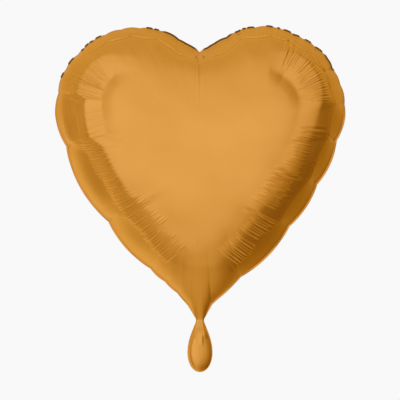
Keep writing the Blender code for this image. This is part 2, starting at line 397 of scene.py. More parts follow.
# Cross-sections of the rim, in millimetres. Each one: where it is along the seam from the notch; the
# reach of the rim's crease and how far it sinks there; the reach of the shoulder and how far it stands
# up there; how wide the terrace past it is and how far the film is sunk at its end; and how flat the
# film is between the seam and the crease, and between the crease and the shoulder, from 0 to 1.
# Reach is the distance from the seam over the dome.
RIM_RIGHT = [
    (-20, 60, 0.3, 86, 0.0, 18, 0.0, 0.90, 0.0), (0, 55, 0.3, 84, 0.0, 18, 0.0, 0.90, 0.0),
    (30, 42, 0.3, 78, 0.0, 18, 0.0, 0.90, 0.0), (60, 37, 0.3, 76, 0.0, 18, 0.0, 0.90, 0.0),
    (92, 38, 0.3, 66, 0.0, 22, 0.0, 0.90, 0.1), (142, 38, 0.3, 56, 3.4, 31, 6.0, 0.90, 0.6),
    (215, 40, 0.3, 57, 3.2, 29, 5.5, 0.90, 0.6), (262, 44, 0.3, 68, 1.0, 22, 1.4, 0.85, 0.3),
    (300, 48, 0.4, 74, 0.5, 20, 0.8, 0.80, 0.15), (410, 50, 0.4, 80, 0.5, 18, 0.6, 0.80, 0.15),
    (470, 46, 0.3, 66, 0.4, 14, 0.4, 0.80, 0.2), (530, 40, 0.2, 58, 0.2, 12, 0.2, 0.60, 0.1),
    (580, 30, 0.0, 50, 0.0, 12, 0.0, 0.40, 0.0),
]  # fmt: skip
RIM_LEFT = [
    (-20, 60, 0.3, 86, 0.0, 18, 0.0, 0.90, 0.0), (0, 55, 0.3, 84, 0.0, 18, 0.0, 0.90, 0.0),
    (30, 42, 0.3, 78, 0.0, 18, 0.0, 0.90, 0.0), (60, 38, 0.3, 76, 0.0, 18, 0.0, 0.90, 0.0),
    (112, 37, 0.3, 68, 0.4, 22, 2.0, 0.90, 0.2), (144, 37, 0.2, 57, 1.8, 27, 4.8, 0.70, 0.3),
    (166, 38, 0.0, 56, 2.8, 28, 7.0, 0.45, 0.4), (224, 38, 0.0, 58, 2.8, 28, 5.2, 0.45, 0.5),
    (233, 33, 0.3, 71, 2.6, 17, 4.2, 0.85, 1.0), (288, 33, 0.3, 72, 2.4, 18, 3.0, 0.85, 1.0),
    (308, 57, 3.2, 84, 3.2, 22, -0.6, 0.30, 0.3), (398, 57, 3.2, 84, 3.0, 22, -0.6, 0.30, 0.3),
    (408, 60, 0.6, 86, 0.6, 12, 0.2, 0.55, 0.2), (500, 58, 0.5, 80, 0.5, 12, 0.2, 0.55, 0.2),
    (540, 46, 0.0, 66, 0.2, 12, 0.2, 0.50, 0.1), (580, 30, 0.0, 50, 0.0, 12, 0.0, 0.40, 0.0),
]  # fmt: skip
# The fine groove along the rim's crease: its depth and its half-width towards the seam and inwards
CREASE_LINE = (2.4, 1.4, 2.6)
RIM_LEAN = 0.28  # how far the folds of the flanks lean over for each millimetre inwards
DOME_ROUND = 138 * MM  # a chord of the dome sinks below it by its two parts' product over this
# How sharply the outline bends, as one over its radius in metres, at distances in millimetres
OUTLINE_BEND = [(-20, 0), (20, 10), (255, 10), (300, 4), (420, 4), (500, 0), (600, 0)]
PANEL_FLATNESS = 0.45
PANEL_REACH = 54 * MM
PANEL_WIDTH = 20 * MM

# Sets of fine wrinkles square to the seam: where the set starts along the seam, how many there are,
# how far apart, the reach at which they start and end, their height, and how far they lean over
# for each millimetre inwards. All in millimetres.
FRONT_RIGHT_WRINKLES = [
    (118, 12, 4.6, 46, 76, 0.75, 0.0), (173, 15, 4.5, 50, 84, 0.85, 0.05),
    (289, 17, 3.7, 66, 88, 0.80, 0.2), (352, 16, 3.7, 66, 93, 0.95, 0.3),
    (320, 6, 4.0, 40, 52, 0.35, 0.1), (422, 9, 3.8, 50, 78, 0.90, 0.25),
    (462, 9, 3.8, 44, 76, 0.95, 0.2),
]  # fmt: skip
FRONT_LEFT_WRINKLES = [
    (140, 5, 4.4, 44, 64, 0.40, 0.0), (162, 8, 4.3, 54, 84, 0.80, 0.0), (197, 9, 4.3, 46, 86, 0.90, 0.05),
    (262, 9, 4.0, 70, 90, 0.80, 0.0), (301, 27, 3.7, 57, 84, 0.90, 0.3), (402, 13, 3.9, 58, 92, 1.05, 0.15),
    (453, 11, 3.9, 52, 84, 1.05, 0.1),
]  # fmt: skip
BACK_RIGHT_WRINKLES = [
    (60, 5, 6.0, 56, 88, 0.33, 0.0), (118, 10, 6.4, 60, 98, 0.45, 0.0),
    (186, 8, 6.4, 64, 104, 0.51, 0.0), (248, 9, 6.0, 66, 100, 0.45, 0.1),
    (304, 15, 5.2, 66, 104, 0.48, 0.25), (392, 9, 4.9, 60, 100, 0.51, 0.2),
    (446, 8, 4.7, 52, 92, 0.48, 0.1),
]  # fmt: skip
BACK_LEFT_WRINKLES = [
    (96, 6, 6.2, 50, 90, 0.39, 0.0), (146, 10, 6.4, 62, 100, 0.48, 0.0),
    (224, 8, 6.2, 66, 102, 0.48, 0.0), (282, 12, 5.3, 64, 104, 0.45, 0.2),
    (354, 12, 5.0, 64, 108, 0.51, 0.3), (436, 10, 4.7, 54, 96, 0.54, 0.15),
]  # fmt: skip

# Long single creases as seen from the front: from x, z to x, z, depth and half-width, in millimetres
FRONT_CREASES = [
    (-171, 280, -138, 266, 0.9, 2.2), (-157, 270, -148, 226, 0.35, 1.6), (-4.5, 312, -6, 262, 0.35, 1.0),
    (0.5, 314, 1.0, 264, 0.35, 1.0), (-84, 356, -88, 334, 0.35, 1.0), (-79, 354, -82, 336, 0.25, 1.0),
    (72, 356, 74, 334, 0.30, 1.0), (77, 356, 79, 338, 0.25, 1.0), (111, 348, 106, 322, 0.8, 1.6),
    (118, 345, 113, 322, 0.5, 1.5), (122, 235, 154, 233, 0.6, 1.6), (124, 230, 152, 226, 0.5, 1.6),
    (104, 180, 126, 172, 0.8, 1.8), (56, 138, 94, 116, 0.9, 1.8), (60, 132, 92, 112, 0.6, 1.8),
    (92, 158, 118, 148, 0.4, 1.6), (-122, 134, -96, 152, 0.5, 2.0),
]  # fmt: skip
TAIL_CREASES = [(-4, -8, -7, -26, 0.5, 1.0), (1, -9, 0.5, -28, 0.4, 0.8), (-8.5, -14, -10.5, -30, 0.4, 1.0)]
BACK_CREASES = [
    (168, 284, 132, 268, 0.9, 2.0), (-166, 246, -128, 242, 0.8, 2.0), (-108, 346, -96, 316, 0.7, 1.6),
    (66, 358, 62, 326, 0.4, 1.2), (-118, 146, -76, 172, 0.9, 1.9), (112, 136, 84, 158, 0.8, 1.9),
    (-2, 314, -2, 258, 0.4, 1.0), (2.5, 314, 3.5, 262, 0.4, 1.0),
]  # fmt: skip


def table(pairs, value):
    """A value read from pairs in millimetres."""
    return np.interp(value / MM, [a for a, _ in pairs], [b for _, b in pairs])


def segment_share(run, corners):
    """How far along its stretch between two corners each place is, from 0 to 1, and its length."""
    at = np.array(corners) * MM
    which = np.clip(np.searchsorted(at, run, side="right") - 1, 0, len(at) - 2)
    length = at[which + 1] - at[which]
    return np.clip((run - at[which]) / length, 0, 1), length


def crimped_rim(run, reach, depth, corners, sections):
    """The crimped rim: a facet up to its crease, one up to the shoulder and the terrace past it.

    Past the terrace the film comes back to the dome in two steps.
    """
    rows = np.array(sections)
    leant = run - RIM_LEAN * depth * smoothstep(230 * MM, 290 * MM, run)
    values = [np.interp(leant / MM, rows[:, 0], rows[:, k]) for k in range(1, rows.shape[1])]
    crease, sunk, shoulder, raised, wide, fallen = (value * MM for value in values[:6])
    flat_rim, flat_facet = values[6:]
    share, length = segment_share(run, corners)
    bowed = 1 + np.minimum(0.14, 2.8 * length) * (4 * share * (1 - share) - 0.5)
    crease = crease * bowed
    end = shoulder + wide
    stations = [0 * crease, crease, shoulder, end, end + 15 * MM, end + 27 * MM]
    heights = [0 * crease, -sunk, raised, -fallen, -0.25 * fallen, 0 * crease]
    total = np.zeros_like(reach)
    for shift, weight in ((-3, 1), (-1.5, 2), (0, 3), (1.5, 2), (3, 1)):  # rounds the creases
        r = np.abs(reach + shift * MM)
        high = -flat_rim * r * np.clip(crease - r, 0, None) / DOME_ROUND
        high -= flat_facet * np.clip(r - crease, 0, None) * np.clip(shoulder - r, 0, None) / DOME_ROUND
        for k in range(5):
            part = np.clip((r - stations[k]) / (stations[k + 1] - stations[k]), 0, 1)
            high += (heights[k + 1] - heights[k]) * part
        total += weight / 9 * high
    deep, outer, inner = CREASE_LINE
    bank = np.where(reach < crease, outer, inner) * MM
    lined = np.minimum(1, flat_rim / 0.8) ** 3 * (1 - 0.75 * smoothstep(150 * MM, 240 * MM, run))
    lined *= smoothstep(560 * MM, 500 * MM, run) * smoothstep(4 * MM, 18 * MM, run)
    return total - deep * MM * lined * np.exp(-np.abs(reach - crease) / bank)


def flattened_panels(run, reach, corners):
    """The film is pulled flat between two corners, a little inside the rim."""
    share, length = segment_share(run, corners)
    sag = PANEL_FLATNESS * length**2 * table(OUTLINE_BEND, run) / 8
    return -sag * 4 * share * (1 - share) * np.exp(-(((reach - PANEL_REACH) / PANEL_WIDTH) ** 2))


def corner_folds(run, reach, corners):
    """A narrow groove that runs in from each corner of the rim."""
    height = np.zeros_like(run)
    for n, corner in enumerate(corners[2:-1]):
        wide = (2.0 + 0.8 * math.sin(3 * n)) * MM
        deep = (0.75 + 0.35 * math.sin(2 * n + 1)) * MM
        long = (60 + 14 * math.sin(5 * n + 2)) * MM
        offset = run - corner * MM - 0.05 * (reach - 40 * MM) * math.sin(4 * n)
        height -= deep * np.exp(-np.abs(offset) / wide) * smoothstep(long, 0.45 * long, reach)
    return height


def scatter(number, seed):
    """A fixed scattered value from 0 to 1 for each whole number."""
    value = np.sin(number * 12.9898 + seed * 78.233) * 43758.5453
    return value - np.floor(value)


def wrinkle_sets(run, reach, depth, sets, seed):
    """Sets of fine ridges. Each ridge has its own height, start and end."""
    height = np.zeros_like(run)
    for n, (start, count, apart, first, last, tall, lean) in enumerate(sets):
        place = (run / MM - start - lean * (depth / MM - 40)) / apart
        place = place + 0.16 * np.sin(place * 2.1 + n)
        ridge = np.floor(place)
        own = scatter(ridge, seed + n)
        other = scatter(ridge, seed + n + 0.5)
        begin = first + 6 * (own - 0.5)
        end = last + 8 * (other - 0.5)
        window = smoothstep(begin - 4, begin + 4, reach / MM) * smoothstep(end + 3, end - 6, reach / MM)
        shape = np.sin(np.pi * (place - ridge)) ** 2
        inside = (ridge >= 0) & (ridge < count)
        height += np.where(inside, tall * MM * (0.75 + 0.5 * own) * shape * window, 0)
    return height


def long_creases(plan, creases):
    """Single grooves with sharp bottoms and a low ridge on either side."""
    height = np.zeros(plan.shape[:2])
    for x0, z0, x1, z1, deep, wide in creases:
        start, end = np.array([x0, z0]) * MM, np.array([x1, z1]) * MM
        length = np.linalg.norm(end - start)
        ahead = (end - start) / length
        offset = plan - start
        far = (offset * ahead).sum(2) / length
        aside = np.abs(offset[..., 0] * ahead[1] - offset[..., 1] * ahead[0]) / (wide * MM)
        window = smoothstep(-0.12, 0.2, far) * smoothstep(1.15, 0.6, far)
        groove = -np.exp(-aside) + 0.45 * np.exp(-(((aside - 2.2) / 1.2) ** 2))
        height += deep * MM * groove * window
    return height


def soft_dents(plan, seed):
    """Slow waves of the whole film, too shallow to see but for the way that it mirrors light."""
    x, z = plan[..., 0] / MM, plan[..., 1] / MM
    waves = [(61, 0.4, 0.30), (47, 1.9, 0.22), (83, 2.7, 0.34), (36, 1.1, 0.10), (29, 2.4, 0.06)]
    height = np.zeros_like(x)
    for n, (length, turn, tall) in enumerate(waves):
        phase = 2 * math.pi * (x * math.cos(turn + seed) + z * math.sin(turn + seed)) / length
        height += tall * np.sin(phase + 1.7 * n + seed + 0.8 * np.sin(0.021 * (x + z) + n))
    return MM * height


def pleats(p, half_width, tall, falls_over):
    """Upright pleats of the gathered neck, as a shift along Y. They fan out with the film."""
    across = p[..., 0] / np.maximum(half_width, 1 * MM)
    wave = np.cos(2 * math.pi * (1.6 * across + 0.15)) + 0.6 * np.cos(2 * math.pi * (2.9 * across + 0.4))
    fade = np.exp(-np.abs(p[..., 2]) / falls_over) * smoothstep(1.0, 0.75, np.abs(across))
    return tall * wave * fade


# ---------------------------------------------------------------- meshes


def linked(name, mesh, side):
    """An object for a film's mesh, smooth, with its front on the outside."""
    mesh.update()
    if mesh.polygons[-1].normal.y * side < 0:
        mesh.flip_normals()
    mesh.shade_smooth()
    thing = bpy.data.objects.new(name, mesh)
    bpy.context.scene.collection.objects.link(thing)
    return thing


def ring_mesh(name, p, side, halved_at, closed=True):
    """A mesh over a ring grid, whose columns halve towards the middle."""
    rings, columns, _ = p.shape
    steps = [int(share * rings) for share in halved_at]
    index = -np.ones((rings, columns), int)
    points, strides, stride = [], [], 1
    for k in range(rings):
        if k in steps:
            stride *= 2
        strides.append(stride)
        used = np.arange(0, columns, stride)
        index[k, used] = len(points) + np.arange(len(used))
        points.extend(p[k, used].tolist())
    faces = []
    for k in range(rings - 1):
        s, inner = strides[k], strides[k + 1]
        for a in range(0, columns, inner):
            b = (a + inner) % columns
            if s == inner:
                faces.append((index[k, a], index[k, b], index[k + 1, b], index[k + 1, a]))
            else:
                m = a + s
                faces.append((index[k, a], index[k, m], index[k + 1, a]))
                faces.append((index[k, m], index[k, b], index[k + 1, b]))
                faces.append((index[k, m], index[k + 1, b], index[k + 1, a]))
    if closed:
        hub = len(points)
        points.append(p[-1].mean(0).tolist())
        for a in range(0, columns, strides[-1]):
            faces.append((index[-1, a], index[-1, (a + strides[-1]) % columns], hub))
    mesh = bpy.data.meshes.new(name)
    mesh.from_pydata(points, [], [tuple(int(v) for v in face) for face in faces])
    return linked(name, mesh, side)


def with_pinch(run):
    """A closed loop from a run that starts and ends at the two sides of the pinch."""
    pinch = np.linspace(run[-1], run[0], PINCH_COLUMNS)[1:-1]
    return np.vstack([run, pinch])


def heart_film(name, side, seam, wrinkles, creases):
    """One film of the heart with all its folds."""
    run, outward, distance, inset = seam
    loop = with_pinch(run)
    t = ring_places()
    plan = rings_between(loop, HEART_CENTRE, t)
    height = gathered(puffed(loop, HEART_CENTRE, t, HALF_DEPTH), plan, loop, *HEART_GATHER)
    p = np.stack([plan[..., 0], side * (SEAM_HALF_GAP + height), plan[..., 1]], axis=2)
    n = normals_of(p, side)
    n[0, : len(run)] = np.stack([outward[:, 0], 0 * distance, outward[:, 1]], axis=1)
    along_seam, depth = seam_coordinates(plan)
    reach = np.hypot(depth, height)
    right = smoothstep(-AXIS_BLEND, AXIS_BLEND, plan[..., 0])
    folds = np.zeros_like(height)
    for weight, corners, sections, sets, seed in (
        (right, CORNERS_RIGHT, RIM_RIGHT, wrinkles[0], 1 + side),
        (1 - right, CORNERS_LEFT, RIM_LEFT, wrinkles[1], 5 + side),
    ):
        high = crimped_rim(along_seam, reach, depth, corners, sections)
        high += flattened_panels(along_seam, reach, corners)
        high += corner_folds(along_seam, reach, corners)
        high += wrinkle_sets(along_seam, reach, depth, sets, seed)
        folds += weight * high
    folds *= smoothstep(*NECK_FADE, plan[..., 1])
    folds += long_creases(plan, creases)
    dents = soft_dents(plan, side) * smoothstep(0, 60 * MM, plan[..., 1])
    folds += dents * smoothstep(20 * MM, 90 * MM, reach)
    folds *= smoothstep(0, 8 * MM, reach)
    inset = np.concatenate([inset, np.zeros(len(loop) - len(run))])
    folds = folds - inset[None, :] * np.exp(-((reach / PUCKER_REACH) ** 1.3))
    p += n * folds[..., None]
    sway = np.concatenate([seam_sway(distance), np.zeros(len(loop) - len(run))])
    p[..., 1] += sway[None, :] * np.exp(-reach / SWAY_REACH)
    half_width = np.interp(p[..., 2], *waist_table())
    p[..., 1] += side * pleats(p, half_width, *HEART_PLEATS)
    return ring_mesh(name, p, side, HALVED_AT)


def waist_table():
    """Heights and half-widths of the outline from the tail's lowest point up to the lobes."""
    heart = heart_half()[::-1]
    heart = heart[heart[:, 1] < 0.15]
    tail = tail_half()[::-1]
    both = np.vstack([tail, heart])
    order = np.argsort(both[:, 1])
    return both[order, 1], both[order, 0]


def tail_seam():
    """The tail's seam from the right side of the pinch round its lowest point to the left side.

    Returns its points, its outward normals and the width of the weld outside it.
    """
    half = tail_half()
    length = along(half)[-1]
    distance = np.linspace(0, 2 * length, TAIL_AROUND + 1)
    right = resampled(half, length - np.abs(distance - length))
    points = np.stack([np.sign(length - distance) * right[:, 0], right[:, 1]], axis=1)
    outward = outward_of(points)
    outward[TAIL_AROUND // 2] = (0, -1)
    width = TAIL_WELD_WIDTH * smoothstep(0, 14 * MM, length - np.abs(distance - length))
    return points - outward * width[:, None], outward, width


def tail_film(name, side, filler_hole):
    """One film of the tail from the pinch down. The back one has the filler hole in its middle."""
    run, outward, width = tail_seam()
    loop = with_pinch(run)
    t = np.linspace(0, 1, TAIL_RINGS)
    plan = rings_between(loop, TAIL_CENTRE, t)
    height = puffed(loop, TAIL_CENTRE, t, TAIL_HALF_DEPTH)
    if filler_hole:
        spoke = loop - TAIL_CENTRE
        length = np.linalg.norm(spoke, axis=1)
        kept = 1 - (1 - FILLER_RADIUS / length) * (t**1.7)[:, None]
        plan = TAIL_CENTRE + kept[..., None] * spoke
        ring = np.sqrt((1 - kept) / (1 - CAP))
        height = np.stack([np.interp(ring[:, k], t, height[:, k]) for k in range(len(loop))], axis=1)
    half_width = np.interp(plan[..., 1], *waist_table())
    height *= 1 - side * TAIL_SKEW * plan[..., 0] / np.maximum(half_width, 1 * MM)
    height = gathered(height, plan, loop, *TAIL_GATHER)
    folds = long_creases(plan, TAIL_CREASES) * smoothstep(0, 6 * MM, height)
    p = np.stack([plan[..., 0], side * (SEAM_HALF_GAP + height + folds), plan[..., 1]], axis=2)
    half_width = np.interp(p[..., 2], *waist_table())
    p[..., 1] += side * pleats(p, half_width, *TAIL_PLEATS)
    return ring_mesh(name, p, side, (), closed=not filler_hole)


def weld_strip(name, seam_points, outward, width, curl, sway):
    """The two films welded flat outside the seam, as one thin closed strip that can curl back.

    curl is the angle from the seam's plane towards +Y at the strip's outer edge, in radians.
    """
    stations = np.linspace(-0.15, 1, 6)
    middle = [np.stack([seam_points[:, 0], sway, seam_points[:, 1]], axis=1)]
    out = np.stack([outward[:, 0], np.zeros(len(width)), outward[:, 1]], axis=1)
    back = np.array([0.0, 1.0, 0.0])
    middle[0] = middle[0] + out * (stations[0] * width)[:, None]
    lean = []
    for n, share in enumerate(stations):
        angle = curl * (0.35 + 0.65 * max(share, 0))
        direction = out * np.cos(angle)[:, None] + back * np.sin(angle)[:, None]
        lean.append(back * np.cos(angle)[:, None] - out * np.sin(angle)[:, None])
        if n:
            middle.append(middle[-1] + direction * ((share - stations[n - 1]) * width)[:, None])
    half = 0.5 * WELD_THICK * np.clip(width / (0.3 * width.max()), 0.15, 1)[:, None]
    upper = [m - q * half for m, q in zip(middle, lean)]
    lower = [m + q * half for m, q in zip(middle, lean)]
    section = np.stack(upper + lower[::-1], axis=1)
    count, sides, _ = section.shape
    faces = []
    for k in range(count - 1):
        for m in range(sides):
            n = (m + 1) % sides
            faces.append((k * sides + m, k * sides + n, (k + 1) * sides + n, (k + 1) * sides + m))
    faces.append(tuple(range(sides))[::-1])
    faces.append(tuple(range((count - 1) * sides, count * sides)))
    mesh = bpy.data.meshes.new(name)
    mesh.from_pydata(section.reshape(-1, 3).tolist(), [], faces)
    tidy = bmesh.new()
    tidy.from_mesh(mesh)
    bmesh.ops.recalc_face_normals(tidy, faces=tidy.faces)
    tidy.to_mesh(mesh)
    tidy.free()
    mesh.shade_smooth()
    mesh.set_sharp_from_angle(angle=math.radians(50))
    thing = bpy.data.objects.new(name, mesh)
    bpy.context.scene.collection.objects.link(thing)
    return thing


def shown_edge(distance):
    """Where the welded edge of the lobes stands up behind the front film: 0 hidden, 1 in full view."""
    shown = np.zeros_like(distance)
    for sign, stretches in ((1, EDGE_SHOWN_RIGHT), (-1, EDGE_SHOWN_LEFT)):
        far = sign * distance / MM
        for start, end in stretches:
            share = np.clip((far - start) / (end - start), 0, 1)
            shown = np.maximum(shown, np.clip(3 * np.sin(math.pi * share), 0, 1))
    return shown


def heart_weld(seam):
    """The welded edge of the heart. It curls back over the lobes and waves a little elsewhere."""
    run, outward, distance, inset = seam
    points = run - outward * inset[:, None]
    length = np.abs(distance[0])
    width = WELD_WIDTH * np.clip((length - np.abs(distance)) / PINCH_FADE, 0, 1)
    lobes = smoothstep(290 * MM, 215 * MM, np.abs(distance))
    waves = 0.22 * np.sin(distance / (11 * MM)) + 0.16 * np.sin(distance / (4.3 * MM) + 1)
    shown = shown_edge(distance)
    curl = lobes * np.radians(74 - 52 * shown) + (1 - lobes) * (0.35 + waves)
    edge = weld_strip("heart_weld", points, outward, width, curl, seam_sway(distance))
    # Painted shade: the edge's colour goes deep brown where it stands up behind the lobes
    shade = edge.data.attributes.new("painted_edge_shade", "FLOAT", "POINT")
    painted_shade_per_point = np.repeat(shown * lobes, len(edge.data.vertices) // len(shown))
    shade.data.foreach_set("value", painted_shade_per_point.astype(np.float32))
    return edge


def tail_weld():
    """The welded edge of the tail."""
    run, outward, width = tail_seam()
    far = along(run)
    curl = 0.10 * np.sin(far / (7 * MM)) + 0.06 * np.sin(far / (2.9 * MM) + 1)
    return weld_strip("tail_edge_weld", run, outward, width, curl, np.zeros(len(far)))


def valve_film(name, node, side):
    """One thin film of the valve, a little wavy, with its long edges pressed together."""
    low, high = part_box(node)
    across, up = 29, 90
    z = np.linspace(low.z, high.z, up)
    flare = smoothstep(low.z, low.z + VALVE_FLARE, z)
    half = VALVE_FOOT_HALF_WIDTH + (high.x - VALVE_FOOT_HALF_WIDTH) * flare
    share = np.linspace(-1, 1, across)
    middle = 0.5 * (low.y + high.y)
    wave = VALVE_WAVE * np.sin(2 * math.pi * (z[:, None] / (13 * MM) + 0.35 * side * share))
    bow = VALVE_BOW * side * (1 - share[None, :] ** 6)
    z = np.repeat(z[:, None], across, axis=1)
    p = np.stack([half[:, None] * share, middle + bow + wave, z], axis=2)
    faces = []
    for k in range(up - 1):
        for m in range(across - 1):
            a = k * across + m
            faces.append((a, a + 1, a + across + 1, a + across))
    mesh = bpy.data.meshes.new(name)
    mesh.from_pydata(p.reshape(-1, 3).tolist(), [], faces)
    return linked(name, mesh, side)


# ---------------------------------------------------------------- materials


def noise(nodes, links, coordinate, scale, detail, roughness=0.5):
    """A noise texture on object coordinates."""
    texture = nodes.new("ShaderNodeTexNoise")
    texture.inputs["Scale"].default_value = scale
    texture.inputs["Detail"].default_value = detail
    texture.inputs["Roughness"].default_value = roughness
    links.new(coordinate, texture.inputs["Vector"])
    return texture.outputs["Fac"]


def remapped(nodes, links, value, low, high, to_low, to_high):
    """A value moved from one range to another."""
    node = nodes.new("ShaderNodeMapRange")
    for socket, number in (("From Min", low), ("From Max", high), ("To Min", to_low), ("To Max", to_high)):
        node.inputs[socket].default_value = number
    links.new(value, node.inputs["Value"])
    return node.outputs["Result"]


def ramp(nodes, links, value, stops):
    """A colour ramp from (position, colour) stops."""
    node = nodes.new("ShaderNodeValToRGB")
    elements = node.color_ramp.elements
    elements[0].position, elements[0].color = stops[0][0], (*stops[0][1], 1)
    elements[1].position, elements[1].color = stops[-1][0], (*stops[-1][1], 1)
    for place, colour in stops[1:-1]:
        element = elements.new(place)
        element.color = (*colour, 1)
    links.new(value, node.inputs["Fac"])
    return node.outputs["Color"]


def bumped(nodes, links, height, strength, distance, under=None):
    """A bump from a height, laid over another one."""
    node = nodes.new("ShaderNodeBump")
    node.inputs["Strength"].default_value = strength
    node.inputs["Distance"].default_value = distance
    links.new(height, node.inputs["Height"])
    if under:
        links.new(under, node.inputs["Normal"])
    return node.outputs["Normal"]


def new_material(name):
    """An empty node material: its nodes, links, shader and object coordinate."""
    material = bpy.data.materials.new(name)
    material.use_nodes = True
    nodes, links = material.node_tree.nodes, material.node_tree.links
    coordinate = nodes.new("ShaderNodeTexCoord").outputs["Object"]
    return material, nodes, links, nodes["Principled BSDF"], coordinate


def foil():
    """Satin metallised film, gold from its lacquer, with slow cloudy changes and a very fine grain."""
    material, nodes, links, shader, coordinate = new_material("satin_gold_foil")
    clouds = noise(nodes, links, coordinate, 14, 3)
    tones = [(0.32, (0.765, 0.356, 0.074)), (0.68, (0.800, 0.384, 0.084))]
    links.new(ramp(nodes, links, clouds, tones), shader.inputs["Base Color"])
    shader.inputs["Metallic"].default_value = 1.0
    haze = noise(nodes, links, coordinate, 55, 4, 0.6)
    links.new(remapped(nodes, links, haze, 0.3, 0.7, 0.29, 0.36), shader.inputs["Roughness"])
    grain = noise(nodes, links, coordinate, 1500, 2)
    crinkle = noise(nodes, links, coordinate, 210, 3, 0.55)
    fine = bumped(nodes, links, grain, 0.10, 0.00004)
    links.new(bumped(nodes, links, crinkle, 0.16, 0.00012, fine), shader.inputs["Normal"])
    shader.inputs["Specular Tint"].default_value = (0.95, 0.75, 0.45, 1)
    return material


def weld_foil():
    """The welded edge: the same film pressed between ribbed jaws, so duller and finely ribbed.

    Where it stands up behind the lobes its colour is darkened to a deep brown, a painted shade.
    """
    material, nodes, links, shader, coordinate = new_material("pressed_gold_weld")
    clouds = noise(nodes, links, coordinate, 90, 3)
    tones = [(0.3, (0.71, 0.328, 0.066)), (0.7, (0.785, 0.372, 0.080))]
    # Painted shade: the colour is mixed towards deep brown where the edge stands up behind the lobes
    turned = nodes.new("ShaderNodeAttribute")
    turned.attribute_name = "painted_edge_shade"
    mix = nodes.new("ShaderNodeMix")
    mix.data_type = "RGBA"
    links.new(turned.outputs["Fac"], mix.inputs["Factor"])
    links.new(ramp(nodes, links, clouds, tones), mix.inputs[6])
    mix.inputs[7].default_value = (0.17, 0.075, 0.012, 1)
    links.new(mix.outputs[2], shader.inputs["Base Color"])
    shader.inputs["Metallic"].default_value = 1.0
    links.new(remapped(nodes, links, clouds, 0.3, 0.7, 0.36, 0.48), shader.inputs["Roughness"])
    heights = None
    for direction in ("X", "Z"):
        ribs = nodes.new("ShaderNodeTexWave")
        ribs.wave_type = "BANDS"
        ribs.bands_direction = direction
        ribs.inputs["Scale"].default_value = 420
        ribs.inputs["Distortion"].default_value = 0.6
        links.new(coordinate, ribs.inputs["Vector"])
        heights = bumped(nodes, links, ribs.outputs["Fac"], 0.30, 0.00008, heights)
    links.new(heights, shader.inputs["Normal"])
    return material


def valve_plastic():
    """Thin milky polyethylene, clearer and cloudier in turn, with faint drawing lines."""
    material, nodes, links, shader, coordinate = new_material("milky_valve_film")
    clouds = noise(nodes, links, coordinate, 60, 4)
    tones = [(0.3, (0.80, 0.82, 0.82)), (0.7, (0.92, 0.93, 0.92))]
    links.new(ramp(nodes, links, clouds, tones), shader.inputs["Base Color"])
    links.new(remapped(nodes, links, clouds, 0.3, 0.7, 0.28, 0.42), shader.inputs["Roughness"])
    shader.inputs["Transmission Weight"].default_value = 0.55
    shader.inputs["IOR"].default_value = 1.5
    lines = nodes.new("ShaderNodeTexWave")
    lines.bands_direction = "X"
    lines.inputs["Scale"].default_value = 300
    lines.inputs["Distortion"].default_value = 2.5
    links.new(coordinate, lines.inputs["Vector"])
    links.new(bumped(nodes, links, lines.outputs["Fac"], 0.15, 0.00006), shader.inputs["Normal"])
    return material


def floor_paint():
    """Matt off-white paper with a barely visible tooth."""
    material, nodes, links, shader, coordinate = new_material("pale_paper_floor")
    fibre = noise(nodes, links, coordinate, 40, 5)
    tones = [(0.3, (0.88, 0.88, 0.88)), (0.7, (0.91, 0.91, 0.91))]
    links.new(ramp(nodes, links, fibre, tones), shader.inputs["Base Color"])
    shader.inputs["Roughness"].default_value = 0.8
    return material


# ---------------------------------------------------------------- studio

# What the film mirrors: a wide soft light in front, darker sides, a lit backdrop behind. Stops run
# from straight in front (0) to straight behind (1).
AROUND_THE_SET = [
    (0.00, 1.00), (0.12, 0.97), (0.18, 0.90), (0.25, 0.76), (0.35, 0.58), (0.45, 0.48), (0.58, 0.46),
    (0.70, 0.58), (0.82, 0.68), (1.0, 0.80),
]  # fmt: skip
TOWARDS_RIGHT = -0.27  # the set gets darker to the right
LOW_LEAN = -7.0  # the more so low down and towards the back
TOWARDS_TOP = 0.58  # and at the sides lighter upwards
WIDE_LIGHT = -0.50  # the light in front is wider than it is high
FLOOR_LIGHT = 0.55  # light that comes straight up from the floor
SHADE_TONES = [
    (0.0, (0.0, 0.0, 0.0)), (0.24, (0.24, 0.15, 0.02)), (0.47, (0.47, 0.36, 0.07)),
    (0.74, (0.74, 0.67, 0.40)), (1.0, (1.0, 1.0, 1.0)),
]  # fmt: skip
BACKDROP = (0.945, 0.945, 0.945, 1)
FLOOR_Z = -0.45
FLOOR_RADIUS = 3.0
AIM = Vector((0, 0, 0.17))


